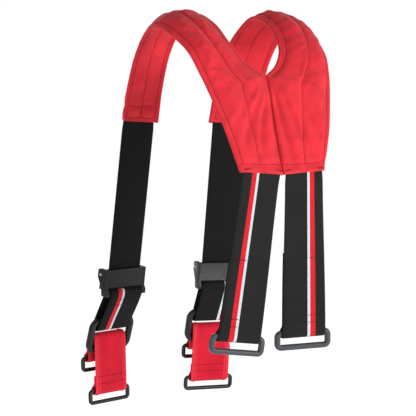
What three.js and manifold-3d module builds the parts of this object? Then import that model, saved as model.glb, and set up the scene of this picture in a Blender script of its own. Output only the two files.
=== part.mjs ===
// Firefighter's padded suspenders: a red padded yoke, four black straps, two cam adjusters,
// two big rings with folded tabs, and six rectangular loops that buckle to the trousers.
//
// Millimetres. +Z up, the wearer faces +Y, +X is the wearer's right. The origin lies between
// the shoulders, where the wearer's shoulders carry the pads.

import * as THREE from 'three';
import { mergeVertices } from 'three/addons/utils/BufferGeometryUtils.js';
import Module from 'manifold-3d';

const wasm = await Module();
wasm.setup();

const degrees = THREE.MathUtils.degToRad;

// ---------------------------------------------------------------------------- driving sizes

const clearance = 0.3; // gap kept between any two touching pieces

const webbing = { width: 50.8, thickness: 1.8 };

// Stations along one pad on the wearer's right, from its front end over the shoulder to the
// hem of the back panel. The neck edge meets the centre seam at its last point.
const seamGap = 0.35;
const neckEdge = [
  [38, 93, -112],
  [39, 81, -73],
  [40, 62, -34],
  [41, 38, -10],
  [41, 8, 4],
  [39.5, -26, -9],
  [34, -50, -35],
  [19, -61, -57],
  [seamGap, -67, -69],
];
const centreSeam = [
  [seamGap, -67, -69],
  [seamGap, -79, -122],
  [seamGap, -93, -176],
];
const armEdge = [
  [94.5, 79, -111],
  [95, 64, -74],
  [95, 47, -40],
  [95.5, 25, -17],
  [98, 0, -13],
  [99.5, -30, -23],
  [95, -55, -42],
  [89, -68, -66],
  [82, -77, -90],
  [71, -88, -128],
  [57.5, -94, -172],
];
const pad = {
  lining: 1.0,
  shell: 1.2,
  fill: 7.4, // room between the cloths at the middle of the pad
  pocket: 3.8, // room where a strap is sewn in between the cloths
  arch: { left: 3.5, right: 8 }, // how far a pad's middle stands above the line between its edges
  drop: 1.1, // how far the lining hangs below the edge line
  rows: 25,
  columns: [0, 0.045, 0.1, 0.25, 0.4, 0.5, 0.6, 0.75, 0.9, 0.955, 1], // shares of the width
  foamGap: 0.9, // between the foam and each cloth
  foamRows: [3, 22],
  foamColumns: [2, 8],
  sewnRows: 2, // rows at each end where a strap is sewn in
  mouth: 1.5, // how far a strap runs straight out of the pad before it bends
};

// Each strap hangs in its own frame: -z down the strap, +y to the front. Angles are in degrees.
const front = {
  splay: 1,
  lean: 11,
  yaw: 12,
  adjusterDrop: 173, // length of strap above the adjuster
  lowerLean: 21, // how far the strap below the adjuster leans forward of the strap above it
  lowerLength: 44, // from the adjuster's face to the level of the ring's upper bar
  ringLean: 8,
  tabLean: { left: -18, right: -12 },
};
const back = {
  length: 184,
  lean: 5.9,
  tail: 97, // height of the sewn tail's end above the fold
  step: 12, // length of one straight piece of the twisting strap
  left: { splay: 6.5, yaw: [3, -9.7] }, // yaw at the hem and at the loop
  right: { splay: -3.4, yaw: [-3, -18] },
};

const adjuster = {
  width: 63,
  faceHeight: 21.5,
  faceThickness: 3,
  height: 31,
  sidePlay: 1.2, // between the strap's edge and each cheek
  cheekTop: 10.5,
  cheekFoot: 1.6,
  barThickness: 3.2,
  barHeight: 5,
  barDrop: 28.3,
};
const lever = {
  pinRadius: 1.6,
  pinDrop: 6.4,
  camRadius: 5.2,
  thickness: 3,
  length: 19,
};

const ring = { width: 69, height: 44, bar: 8, depth: 7.4, end: 7.7, corner: 13, innerCorner: 1.6 };
const sewnBarRise = 2; // how far the sewn fold's round sits above the middle of the adjuster's bar
const sewnEnd = 6; // length of the sewn fold's end in front of the adjuster's bar
const strapBend = 3; // length over which the strap bends under the adjuster
const strapFoldDepth = 7; // how far the strap's fold hangs under the ring's upper bar
const tab = { thickness: 2.2, foldRise: 13, longDrop: 48.5, longTail: -31, shortDrop: 10.5, shortTail: 8 };
const frontLoop = { width: 65, height: 18.8, bar: 4.8, corner: 6 };
const backLoop = { width: 66, height: 22.5, bar: 6.5, corner: 7.5 };
const loopPlay = 0.6; // between a loop's bar and the cloth folded round it
const tabPlay = 0.9; // between the ring's lower bar and each leg of the tab

// ------------------------------------------------------------------------------- materials

const material = (color, roughness) => new THREE.MeshStandardMaterial({ color, roughness, metalness: 0 });
const finishes = {
  redCloth: material(0xd2232f, 0.8),
  redLining: material(0xb81c33, 0.85),
  foam: material(0xd9d2c0, 0.95),
  blackWebbing: material(0x1b1b1c, 0.85),
  redTab: material(0xc11c38, 0.75),
  blackPlastic: material(0x26262a, 0.5),
  greyPlastic: material(0x4a4d50, 0.5),
  steel: material(0x8a8d90, 0.35),
};

// ------------------------------------------------------------------------------ solid tools

// A unit box with the given segments, each corner moved by place(across, up, along), all 0 to 1.
function bentBox(columns, rows, place) {
  const geometry = new THREE.BoxGeometry(1, 1, 1, columns, 1, rows);
  const corners = geometry.attributes.position;
  const corner = new THREE.Vector3();
  for (let i = 0; i < corners.count; i += 1) {
    corner.fromBufferAttribute(corners, i).addScalar(0.5);
    const moved = place(corner.x, corner.y, corner.z);
    corners.setXYZ(i, moved.x, moved.y, moved.z);
  }
  return facingOut(geometry);
}

// Turns every triangle round if the faces of a closed mesh point inwards.
function facingOut(geometry) {
  const corners = geometry.attributes.position;
  const index = geometry.index;
  const [a, b, c] = [new THREE.Vector3(), new THREE.Vector3(), new THREE.Vector3()];
  let volume = 0;
  for (let i = 0; i < index.count; i += 3) {
    a.fromBufferAttribute(corners, index.getX(i));
    b.fromBufferAttribute(corners, index.getX(i + 1));
    c.fromBufferAttribute(corners, index.getX(i + 2));
    volume += a.dot(b.cross(c));
  }
  if (volume < 0) {
    for (let i = 0; i < index.count; i += 3) {
      const first = index.getX(i);
      index.setX(i, index.getX(i + 2));
      index.setX(i + 2, first);
    }
  }
  geometry.computeVertexNormals();
  return geometry;
}

function toSolid(geometry) {
  const plain = geometry.clone();
  plain.deleteAttribute('normal');
  plain.deleteAttribute('uv');
  const merged = mergeVertices(plain, 1e-4);
  return new wasm.Manifold(new wasm.Mesh({
    numProp: 3,
    vertProperties: new Float32Array(merged.attributes.position.array),
    triVerts: new Uint32Array(merged.index.array),
  }));
}

function toGeometry(solid) {
  const mesh = solid.getMesh();
  const geometry = new THREE.BufferGeometry();
  geometry.setAttribute('position', new THREE.BufferAttribute(new Float32Array(mesh.vertProperties), 3));
  geometry.setIndex(new THREE.BufferAttribute(new Uint32Array(mesh.triVerts), 1));
  geometry.computeVertexNormals();
  return geometry;
}

// Extrudes a shape drawn in (y, z) along x, from x0 to x1.
function extrudeAcross(shape, x0, x1) {
  const geometry = new THREE.ExtrudeGeometry(shape, {
    depth: x1 - x0,
    bevelEnabled: false,
    curveSegments: 8,
  });
  const turn = new THREE.Matrix4().set(0, 0, 1, x0, 1, 0, 0, 0, 0, 1, 0, 0, 0, 0, 0, 1);
  return geometry.applyMatrix4(turn);
}

function roundedRectangle(Outline, width, height, radius) {
  const outline = new Outline();
  const x = width / 2 - radius;
  const y = height / 2 - radius;
  outline.absarc(x, y, radius, 0, Math.PI / 2, false);
  outline.absarc(-x, y, radius, Math.PI / 2, Math.PI, false);
  outline.absarc(-x, -y, radius, Math.PI, 1.5 * Math.PI, false);
  outline.absarc(x, -y, radius, 1.5 * Math.PI, 2 * Math.PI, false);
  return outline;
}

// A flat loop in the (x, z) plane with eight-sided bars, its upper bar's axis at the origin.
function loopGeometry({ width, height, bar, depth = bar, end = bar, corner, innerCorner = corner - end }) {
  const chamfer = bar * 0.29;
  const outline = roundedRectangle(THREE.Shape, width - 2 * chamfer, height - 2 * chamfer, corner - chamfer);
  const innerWidth = width - 2 * end + 2 * chamfer;
  const innerHeight = height - 2 * bar + 2 * chamfer;
  const holeCorner = Math.max(innerCorner, 0.8) + chamfer;
  outline.holes.push(roundedRectangle(THREE.Path, innerWidth, innerHeight, holeCorner));
  const geometry = new THREE.ExtrudeGeometry(outline, {
    depth: depth - 2 * chamfer,
    bevelEnabled: true,
    bevelThickness: chamfer,
    bevelSize: chamfer,
    bevelSegments: 1,
    curveSegments: 3,
  });
  geometry.translate(0, -(height - bar) / 2, -(depth / 2 - chamfer));
  return geometry.rotateX(Math.PI / 2);
}

// ---------------------------------------------------------------------------------- the pads

const lastColumn = pad.columns.length - 1;
const toVectors = (points) => points.map(([x, y, z]) => new THREE.Vector3(x, y, z));
const neckCurve = new THREE.CatmullRomCurve3(toVectors(neckEdge));
const seamCurve = new THREE.CatmullRomCurve3(toVectors(centreSeam));
const armCurve = new THREE.CatmullRomCurve3(toVectors(armEdge));
const neckShare = (neckEdge.length - 1) / (armEdge.length - 1);

// A point of the pad's edge surface on the wearer's right: along 0 at the front end and 1 at the
// hem, across 0 at the neck edge or centre seam and 1 at the arm edge.
function edgeSurface(along, across) {
  const inner = along <= neckShare
    ? neckCurve.getPoint(along / neckShare)
    : seamCurve.getPoint((along - neckShare) / (1 - neckShare));
  return inner.lerp(armCurve.getPoint(along), across);
}

// How far the draped pad stands above the straight line between its two edges.
function archHeight(side, along, across) {
  const shoulder = Math.sin(Math.PI * THREE.MathUtils.clamp(along / neckShare, 0, 1)) ** 2;
  const arch = side < 0 ? pad.arch.left : pad.arch.right;
  return 4 * arch * across * (1 - across) * shoulder;
}

function surfaceNormal(along, across) {
  const step = 0.004;
  const before = Math.max(along - step, 0);
  const after = Math.min(along + step, 1);
  const lengthwise = edgeSurface(after, across).sub(edgeSurface(before, across));
  const crosswise = edgeSurface(along, 1).sub(edgeSurface(along, 0));
  return lengthwise.cross(crosswise).normalize();
}

// Room between the lining and the shell: foam in the middle, a flat pocket at both ends.
function room(along, across) {
  const pocket = pad.sewnRows / pad.rows;
  const toFront = THREE.MathUtils.smoothstep(along, pocket, 2.5 * pocket);
  const toHem = THREE.MathUtils.smoothstep(1 - along, pocket, 2.5 * pocket);
  const foamShare = Math.min(toFront, toHem);
  const fromMiddle = Math.abs(2 * across - 1);
  const crowned = (pad.fill - clearance) * (1 - fromMiddle ** 3);
  const flat = (pad.pocket - clearance) * (1 - fromMiddle ** 14);
  return clearance + THREE.MathUtils.lerp(flat, Math.max(crowned, 0), foamShare);
}

// A point at a height above the pad's edge surface.
function padPoint(side, along, across, height) {
  const lift = height + archHeight(side, along, across);
  const point = edgeSurface(along, across).addScaledVector(surfaceNormal(along, across), lift);
  point.x *= side;
  return point;
}

// One layer of the pad, between two heights that are functions of (along, across).
function padLayer(side, low, high, [row0, row1] = [0, pad.rows], [column0, column1] = [0, lastColumn]) {
  return bentBox(column1 - column0, row1 - row0, (x, y, z) => {
    const along = THREE.MathUtils.lerp(row0, row1, z) / pad.rows;
    const across = pad.columns[Math.round(THREE.MathUtils.lerp(column0, column1, x))];
    const height = y < 0.5 ? low(along, across) : high(along, across);
    return padPoint(side, along, across, height);
  });
}

const liningFoot = () => -pad.drop;
const liningTop = () => pad.lining - pad.drop;
const shellFoot = (along, across) => liningTop() + room(along, across);
const shellTop = (along, across) => shellFoot(along, across) + pad.shell;
const foamFoot = () => liningTop() + pad.foamGap;
const foamTop = (along, across) => shellFoot(along, across) - pad.foamGap;
const strapHeight = liningTop() + 2 * clearance + webbing.thickness / 2;

function padMeshes(sideName, side) {
  const shell = padLayer(side, shellFoot, shellTop);
  const foam = padLayer(side, foamFoot, foamTop, pad.foamRows, pad.foamColumns);
  const lining = padLayer(side, liningFoot, liningTop);
  return [
    named(`${sideName}_pad_shell`, shell, finishes.redCloth),
    named(`${sideName}_pad_foam`, foam, finishes.foam),
    named(`${sideName}_pad_lining`, lining, finishes.redLining),
  ];
}

function named(name, geometry, finish) {
  const mesh = new THREE.Mesh(geometry, finish);
  mesh.name = name;
  return mesh;
}

// -------------------------------------------------------------------------------- the straps

// A strip of cloth through stations { point, across }, its thickness centred on them.
function ribbon(stations, width, thickness) {
  const last = stations.length - 1;
  const frames = stations.map(({ point, across }, i) => {
    const before = stations[Math.max(i - 1, 0)].point;
    const after = stations[Math.min(i + 1, last)].point;
    const incoming = point.clone().sub(before).normalize();
    const outgoing = after.clone().sub(point).normalize();
    const tangent = incoming.clone().add(outgoing).normalize();
    const bend = Math.max(tangent.dot(i < last ? outgoing : incoming), 0.5);
    const normal = tangent.cross(across).normalize().multiplyScalar(1 / bend);
    return { point, across, normal };
  });
  return bentBox(1, last, (x, y, z) => {
    const frame = frames[Math.round(z * last)];
    return frame.point.clone()
      .addScaledVector(frame.across, (x - 0.5) * width)
      .addScaledVector(frame.normal, (y - 0.5) * thickness);
  });
}

// Stations of a flat profile drawn in (y, z), with x across.
function profileStations(path, divisions = 5) {
  return path.getPoints(divisions).map(({ x: y, y: z }) => ({
    point: new THREE.Vector3(0, y, z),
    across: new THREE.Vector3(1, 0, 0),
  }));
}

// Carries a downward run at runY round a bar at barZ and up again to where it meets the run.
// toward is +1 or -1, the side of the run that the bar and the tail lie on.
function foldRound(path, { runY, barZ, toward, wrap, pinchHeight, stack }) {
  const outward = toward > 0;
  path.absarc(runY + toward * wrap, barZ, wrap, outward ? Math.PI : 0, outward ? 2 * Math.PI : -Math.PI, !outward);
  const farY = runY + 2 * toward * wrap;
  const nearY = runY + toward * stack;
  const pinchZ = barZ + pinchHeight;
  path.bezierCurveTo(farY, barZ + pinchHeight * 0.5, nearY, pinchZ - pinchHeight * 0.5, nearY, pinchZ);
  return path;
}

// The stretch of a strap that lies sewn between the pad's cloths, in the hanging group's frame.
function sewnStations(side, along, hanger) {
  const toHanger = hanger.matrix.clone().invert();
  const stations = [];
  for (let row = pad.sewnRows; row >= 0; row -= 1) {
    const place = Math.abs(along - row / pad.rows);
    const ends = [padPoint(side, place, side < 0 ? 1 : 0, 0), padPoint(side, place, side < 0 ? 0 : 1, 0)];
    stations.push({
      point: padPoint(side, place, 0.5, strapHeight).applyMatrix4(toHanger),
      across: ends[1].sub(ends[0]).transformDirection(toHanger),
    });
  }
  const [inside, mouth] = stations.slice(-2);
  const onward = mouth.point.clone().sub(inside.point).setLength(pad.mouth);
  stations.push({ point: mouth.point.clone().add(onward), across: mouth.across });
  return stations;
}

// A group that hangs at a strap's seat in the pad, its -z along the strap and +y to the front.
function hangerAt(side, along, { splay, lean, yaw }) {
  const hanger = new THREE.Group();
  hanger.position.copy(padPoint(side, along, 0.5, strapHeight));
  hanger.rotation.set(degrees(lean), degrees(splay), degrees(yaw), 'YXZ');
  hanger.updateMatrix();
  return hanger;
}

// ---------------------------------------------------------------------------- the back straps

const upright = new THREE.Vector3(0, 0, 1);
const half = webbing.thickness / 2;
const stackGap = webbing.thickness + clearance;
const strapStart = 6; // where a strap is straight, below its seat in the pad
const strapPinch = 11.5; // from a back loop's bar up to where the strap's two layers meet
const tabPinch = 10.5; // the same above a tab's loop

function backStrap(sideName, side) {
  const { splay, yaw: [hemYaw, loopYaw] } = back[sideName];
  const hanger = hangerAt(side, 1, { lean: back.lean, splay, yaw: 0 });
  const wrap = backLoop.bar / 2 + loopPlay + half;
  const barZ = wrap + half - back.length;
  const turnAtHeight = (z) => {
    const share = THREE.MathUtils.smoothstep(-z, 0, back.length);
    return degrees(THREE.MathUtils.lerp(hemYaw, loopYaw, share));
  };
  const pinchZ = barZ + strapPinch;
  const tailTop = back.tail - back.length;
  const path = new THREE.Path();
  path.moveTo(0, -strapStart);
  for (let z = -back.step; z > barZ; z -= back.step) path.lineTo(0, z);
  foldRound(path, { runY: 0, barZ, toward: 1, wrap, pinchHeight: strapPinch, stack: stackGap });
  const firstStep = Math.floor(pinchZ / back.step) + 1;
  for (let z = firstStep * back.step; z < tailTop; z += back.step) path.lineTo(stackGap, z);
  path.lineTo(stackGap, tailTop);
  const hanging = profileStations(path);
  hanging.forEach(({ point, across }) => {
    const turn = turnAtHeight(point.z);
    point.applyAxisAngle(upright, turn);
    across.applyAxisAngle(upright, turn);
  });
  const sewn = sewnStations(side, 1, hanger);
  const strap = ribbon([...sewn, ...hanging], webbing.width, webbing.thickness);
  hanger.add(named(`${sideName}_back_webbing`, strap, finishes.blackWebbing));

  const loopHinge = new THREE.Group();
  loopHinge.name = `${sideName}_back_loop_hinge`;
  loopHinge.position.set(0, wrap, barZ).applyAxisAngle(upright, turnAtHeight(barZ));
  loopHinge.rotation.z = turnAtHeight(barZ);
  loopHinge.add(named(`${sideName}_back_loop`, loopGeometry(backLoop), finishes.greyPlastic));
  hanger.add(loopHinge);
  return hanger;
}

// --------------------------------------------------------------------------- the front straps

const ringWrap = ring.depth / 2 + loopPlay + half;
const barWrap = adjuster.barThickness / 2 + clearance + 0.05 + half;
const sewnBarY = -(2 * half + clearance + barWrap); // behind the outer run
const lowerAngle = degrees(front.lowerLean);
const faceFoot = new THREE.Vector2(0, -front.adjusterDrop - adjuster.faceHeight);
const lowerDown = new THREE.Vector2(Math.sin(lowerAngle), -Math.cos(lowerAngle));
const lowerFront = new THREE.Vector2(Math.cos(lowerAngle), Math.sin(lowerAngle));
const ringAxis = faceFoot.clone()
  .addScaledVector(lowerDown, front.lowerLength)
  .addScaledVector(lowerFront, -ringWrap);

// The strap below the pad: down through the adjuster, forward and round the ring's upper bar,
// then back up to its end, which is folded over the adjuster's lower bar and sewn.
function frontStrapPath() {
  const inFrame = (forward, up) => ringAxis.clone()
    .addScaledVector(lowerFront, forward)
    .addScaledVector(lowerDown, -up);
  const path = new THREE.Path();
  path.moveTo(0, -strapStart);
  path.lineTo(faceFoot.x, faceFoot.y);
  const bend = faceFoot.clone().addScaledVector(lowerDown, 1.5 * strapBend);
  path.quadraticCurveTo(faceFoot.x, faceFoot.y - strapBend, bend.x, bend.y);
  const fold = inFrame(0, -strapFoldDepth);
  path.absarc(fold.x, fold.y, ringWrap, lowerAngle, lowerAngle - Math.PI, true);
  const returnFoot = inFrame(-ringWrap, 1);
  path.lineTo(returnFoot.x, returnFoot.y);
  const barZ = -front.adjusterDrop - adjuster.barDrop + sewnBarRise;
  const sewnY = sewnBarY - barWrap;
  const returnHead = inFrame(-ringWrap, 12);
  path.bezierCurveTo(returnHead.x, returnHead.y, sewnY, barZ - sewnEnd - strapBend, sewnY, barZ - 2);
  path.lineTo(sewnY, barZ);
  path.absarc(sewnBarY, barZ, barWrap, Math.PI, 0, true);
  path.lineTo(sewnBarY + barWrap, barZ - sewnEnd);
  return path;
}

const camPlay = 0.4; // between the open cam and the strap
const pinY = half + camPlay + lever.camRadius;

function adjusterFrame() {
  const cheekInner = webbing.width / 2 + adjuster.sidePlay;
  const cheekOuter = adjuster.width / 2;
  const faceInner = -(half + clearance);
  const faceOuter = faceInner - adjuster.faceThickness;
  const barFront = sewnBarY - adjuster.barThickness / 2 - 0.6;
  const cheek = new THREE.Shape();
  cheek.moveTo(faceOuter, 0);
  cheek.lineTo(adjuster.cheekTop - 1.5, 0);
  cheek.lineTo(adjuster.cheekTop, -1.5);
  cheek.lineTo(adjuster.cheekTop, -9.5);
  cheek.lineTo(adjuster.cheekFoot + 2, -adjuster.faceHeight);
  cheek.lineTo(adjuster.cheekFoot, -adjuster.height);
  cheek.lineTo(barFront, -adjuster.height);
  cheek.lineTo(barFront, 2.4 - adjuster.barDrop);
  cheek.lineTo(faceOuter, -adjuster.faceHeight);
  const pinHole = new THREE.Path();
  pinHole.absarc(pinY, -lever.pinDrop, lever.pinRadius + clearance, 0, 2 * Math.PI, false);
  cheek.holes.push(pinHole);
  const face = new THREE.BoxGeometry(2 * cheekInner + 2, adjuster.faceThickness, adjuster.faceHeight);
  face.translate(0, (faceInner + faceOuter) / 2, -adjuster.faceHeight / 2);
  const bar = extrudeAcross(
    roundedRectangle(THREE.Shape, adjuster.barThickness, adjuster.barHeight, 1.2),
    -cheekInner - 1,
    cheekInner + 1,
  );
  bar.translate(0, sewnBarY, -adjuster.barDrop);
  const frame = toSolid(extrudeAcross(cheek, cheekInner, cheekOuter))
    .add(toSolid(extrudeAcross(cheek, -cheekOuter, -cheekInner)))
    .add(toSolid(face))
    .add(toSolid(bar));
  return toGeometry(frame);
}

// The cam lever round its pin: a cam that bites the strap, and a thumb plate hanging below it.
function leverGeometry() {
  const { camRadius, thickness, length, pinRadius } = lever;
  const outline = new THREE.Shape();
  outline.moveTo(camRadius - 1, -length);
  outline.lineTo(camRadius + 0.6, -length + 1);
  outline.lineTo(camRadius - 0.9, -camRadius);
  outline.absarc(0, 0, camRadius, -0.6, 1.25 * Math.PI, false);
  outline.lineTo(camRadius - 0.9 - thickness, -camRadius - 2);
  outline.lineTo(camRadius - thickness + 0.6, -length + 0.6);
  const hole = new THREE.Path();
  hole.absarc(0, 0, pinRadius + clearance, 0, 2 * Math.PI, false);
  outline.holes.push(hole);
  const reach = webbing.width / 2 + adjuster.sidePlay - 2 * clearance;
  return extrudeAcross(outline, -reach, reach);
}

function tabPath() {
  const wrap = frontLoop.bar / 2 + loopPlay + tab.thickness / 2;
  const legY = ring.depth / 2 + tabPlay + tab.thickness / 2;
  const stack = tab.thickness + clearance;
  const shortTail = new THREE.Path();
  shortTail.moveTo(legY, tab.foldRise);
  foldRound(shortTail, { runY: legY, barZ: -tab.shortDrop, toward: 1, wrap, pinchHeight: tabPinch, stack });
  shortTail.lineTo(legY + stack, tab.shortTail);
  const long = new THREE.Path();
  long.absarc(0, tab.foldRise, legY, 0, Math.PI, false);
  foldRound(long, { runY: -legY, barZ: -tab.longDrop, toward: 1, wrap, pinchHeight: tabPinch, stack });
  long.lineTo(stack - legY, tab.longTail);
  const stations = [...profileStations(shortTail).reverse(), ...profileStations(long).slice(1)];
  return { stations, longBarY: wrap - legY, shortBarY: wrap + legY };
}

function loopOnHinge(name, y, z) {
  const hinge = new THREE.Group();
  hinge.name = `${name}_hinge`;
  hinge.position.set(0, y, z);
  hinge.add(named(name, loopGeometry(frontLoop), finishes.blackPlastic));
  return hinge;
}

function ringWithTab(sideName) {
  const ringHinge = new THREE.Group();
  ringHinge.name = `${sideName}_ring_hinge`;
  ringHinge.position.set(0, ringAxis.x, ringAxis.y);
  ringHinge.rotation.x = degrees(front.ringLean);
  ringHinge.add(named(`${sideName}_ring`, loopGeometry(ring), finishes.blackPlastic));

  const tabHinge = new THREE.Group();
  tabHinge.name = `${sideName}_tab_hinge`;
  tabHinge.position.z = ring.bar - ring.height;
  tabHinge.rotation.x = degrees(front.tabLean[sideName]);
  const { stations, longBarY, shortBarY } = tabPath();
  tabHinge.add(named(`${sideName}_tab`, ribbon(stations, webbing.width, tab.thickness), finishes.redTab));
  tabHinge.add(loopOnHinge(`${sideName}_tab_long_loop`, longBarY, -tab.longDrop));
  tabHinge.add(loopOnHinge(`${sideName}_tab_short_loop`, shortBarY, -tab.shortDrop));
  ringHinge.add(tabHinge);
  return ringHinge;
}

function adjusterGroup(sideName) {
  const group = new THREE.Group();
  group.position.z = -front.adjusterDrop;
  group.add(named(`${sideName}_adjuster_frame`, adjusterFrame(), finishes.blackPlastic));
  const leverHinge = new THREE.Group();
  leverHinge.name = `${sideName}_lever_hinge`;
  leverHinge.position.set(0, pinY, -lever.pinDrop);
  leverHinge.add(named(`${sideName}_adjuster_lever`, leverGeometry(), finishes.blackPlastic));
  group.add(leverHinge);
  const pinShape = new THREE.Shape();
  pinShape.absarc(pinY, -lever.pinDrop, lever.pinRadius, 0, 2 * Math.PI, false);
  const pin = extrudeAcross(pinShape, -adjuster.width / 2, adjuster.width / 2);
  group.add(named(`${sideName}_adjuster_pin`, pin, finishes.steel));
  return group;
}

function frontStrap(sideName, side) {
  const hang = { splay: -side * front.splay, lean: front.lean, yaw: -side * front.yaw };
  const hanger = hangerAt(side, 0, hang);
  const sewn = sewnStations(side, 0, hanger);
  const hanging = profileStations(frontStrapPath());
  const strap = ribbon([...sewn, ...hanging], webbing.width, webbing.thickness);
  hanger.add(named(`${sideName}_front_webbing`, strap, finishes.blackWebbing));
  hanger.add(adjusterGroup(sideName));
  hanger.add(ringWithTab(sideName));
  return hanger;
}

// --------------------------------------------------------------------------------- assembly

const suspenders = new THREE.Group();
for (const [sideName, side] of [['left', -1], ['right', 1]]) {
  suspenders.add(...padMeshes(sideName, side));
  suspenders.add(backStrap(sideName, side));
  suspenders.add(frontStrap(sideName, side));
}
suspenders.updateMatrixWorld(true);

export default suspenders;
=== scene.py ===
"""Firefighter's padded suspenders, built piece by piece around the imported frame."""

import math

import bmesh
import bpy
from mathutils import Matrix, Vector, noise
from mathutils.bvhtree import BVHTree


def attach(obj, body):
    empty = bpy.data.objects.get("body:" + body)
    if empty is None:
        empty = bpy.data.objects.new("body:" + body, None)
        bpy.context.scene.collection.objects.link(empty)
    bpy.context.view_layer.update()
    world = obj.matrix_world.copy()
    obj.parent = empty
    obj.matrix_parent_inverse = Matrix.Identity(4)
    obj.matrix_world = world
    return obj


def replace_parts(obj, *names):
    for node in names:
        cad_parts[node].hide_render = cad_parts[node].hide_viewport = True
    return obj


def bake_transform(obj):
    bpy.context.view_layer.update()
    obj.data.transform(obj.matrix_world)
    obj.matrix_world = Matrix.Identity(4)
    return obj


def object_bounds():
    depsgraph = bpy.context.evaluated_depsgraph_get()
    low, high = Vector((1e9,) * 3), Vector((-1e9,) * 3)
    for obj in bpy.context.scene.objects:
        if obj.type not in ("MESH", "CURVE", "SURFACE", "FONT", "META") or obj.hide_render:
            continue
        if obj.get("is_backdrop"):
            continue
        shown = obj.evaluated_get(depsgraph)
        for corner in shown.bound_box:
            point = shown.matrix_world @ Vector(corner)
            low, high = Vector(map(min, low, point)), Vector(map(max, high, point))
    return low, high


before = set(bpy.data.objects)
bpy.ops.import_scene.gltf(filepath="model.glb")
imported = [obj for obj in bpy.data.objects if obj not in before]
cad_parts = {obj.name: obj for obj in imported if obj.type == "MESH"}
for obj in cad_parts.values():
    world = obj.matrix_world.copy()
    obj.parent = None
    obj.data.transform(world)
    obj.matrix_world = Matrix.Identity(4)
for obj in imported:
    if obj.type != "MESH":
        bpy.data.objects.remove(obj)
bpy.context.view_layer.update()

bl_info = {
    "name": "Firefighter suspenders",
    "version": (1, 0, 0),
    "blender": (4, 5, 0),
    "location": "View3D > Sidebar > Suspenders",
    "description": "Builds padded suspenders with webbing straps, cam adjusters, rings and tabs",
    "category": "Object",
}

# Fixed sizes

SIDES = {"left": -1, "right": 1}
CLEARANCE = 0.0003
SEAM_GAP = 0.00035
# Stations of the pad on the right side, from its front end over the shoulder to the hem.
NECK_EDGE = [
    (0.038, 0.093, -0.112), (0.039, 0.081, -0.073), (0.040, 0.062, -0.034), (0.041, 0.038, -0.010),
    (0.041, 0.008, 0.004), (0.0395, -0.026, -0.009), (0.034, -0.050, -0.035), (0.019, -0.061, -0.057),
    (SEAM_GAP, -0.067, -0.069),
]
CENTRE_SEAM = [(SEAM_GAP, -0.067, -0.069), (SEAM_GAP, -0.079, -0.122), (SEAM_GAP, -0.093, -0.176)]
ARM_EDGE = [
    (0.0945, 0.079, -0.111), (0.095, 0.064, -0.074), (0.095, 0.047, -0.040), (0.0955, 0.025, -0.017),
    (0.098, 0.0, -0.013), (0.0995, -0.030, -0.023), (0.095, -0.055, -0.042), (0.089, -0.068, -0.066),
    (0.082, -0.077, -0.090), (0.071, -0.088, -0.128), (0.0575, -0.094, -0.172),
]
NECK_SHARE = (len(NECK_EDGE) - 1) / (len(ARM_EDGE) - 1)
PAD_ARCH = {"left": 0.0035, "right": 0.008}
PAD_FILL = 0.0074
PAD_POCKET = 0.0038
PAD_LINING_TOP = -0.0001
PAD_FOOT = -0.0011
PAD_SHELL = 0.0012
PAD_BANDS = 25
POCKET_SHARE = 2 / PAD_BANDS
SEWN_DEPTH = 0.035
STRAP_MOUTH = 0.006
STRAP_HEIGHT = PAD_LINING_TOP + 2 * CLEARANCE + 0.0009
WEB_THICKNESS = 0.0018
HALF = WEB_THICKNESS / 2

FRONT = {
    "splay": 1, "lean": 11, "yaw": 12, "drop": 0.173, "lower_lean": 21, "lower": 0.044, "ring_lean": 8,
}
TAB_LEAN = {"left": -18, "right": -12}
BACK = {"length": 0.184, "lean": 5.9, "tail": 0.097}
BACK_HANG = {"left": (6.5, 3, -9.7), "right": (-3.4, -3, -18)}  # splay, yaw at the hem, yaw at the loop
ADJUSTER = {"face": 0.0215, "thick": 0.0032, "high": 0.005, "drop": 0.0283, "width": 0.063}
RING = {
    "width": 0.069, "height": 0.044, "bar": 0.008, "depth": 0.0074, "end": 0.0077, "corner": 0.013,
    "inner_corner": 0.0016, "soft": 0.4,
}
RING_FOLD = 0.007
TAB = {
    "thick": 0.0022, "rise": 0.013, "long": 0.0485, "long_tail": -0.031, "short": 0.0105,
    "short_tail": 0.008,
}
FRONT_LOOP = {
    "width": 0.065, "height": 0.0188, "bar": 0.0048, "depth": 0.0048, "end": 0.0048, "corner": 0.006,
    "inner_corner": 0.0012, "soft": 0.42,
}
BACK_LOOP = {
    "width": 0.066, "height": 0.0225, "bar": 0.0065, "depth": 0.0065, "end": 0.0065, "corner": 0.0075,
    "inner_corner": 0.001, "soft": 0.4,
}
LOOP_PLAY = 0.0006
TAB_PLAY = 0.0009
STRAP_PINCH = 0.0115
TAB_PINCH = 0.0105
SEWN_BAR_RISE = 0.002
SEWN_END = 0.006
STRAP_BEND = 0.003

CAMERA_PLACE = (-1.0404, -1.4260, -0.172)
CAMERA_AIM = (-0.0191, 0.0199, -0.2115)
CAMERA_LENS = 135.26
CAMERA_ROLL = -1.17


# Settings


def size_setting(name, description, default):
    return bpy.props.FloatProperty(name=name, description=description, default=default, unit="LENGTH")


class SuspendersSizes(bpy.types.PropertyGroup):
    """Sizes of the sewing and the surface."""

    webbing_width: size_setting("Webbing width", "Width of every strap", 0.0508)
    edge_seam: size_setting("Edge seam", "Topstitching's distance from a pad's edge", 0.0055)
    seam_pinch: size_setting("Seam pinch", "How deep a seam pulls the pad in", 0.0017)
    stitch_length: size_setting("Stitch length", "Length of one thread stitch", 0.0023)
    stitch_gap: size_setting("Stitch gap", "Space between two stitches", 0.0009)
    binding: size_setting("Binding", "Radius of the rolled neck edge", 0.0024)
    stripe_place: size_setting("Stripe place", "From a strap's outer edge to its red stripe", 0.0122)
    red_stripe: size_setting("Red stripe", "Width of the red stripe", 0.0062)
    white_stripe: size_setting("White stripe", "Width of the white stripe", 0.0032)


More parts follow.
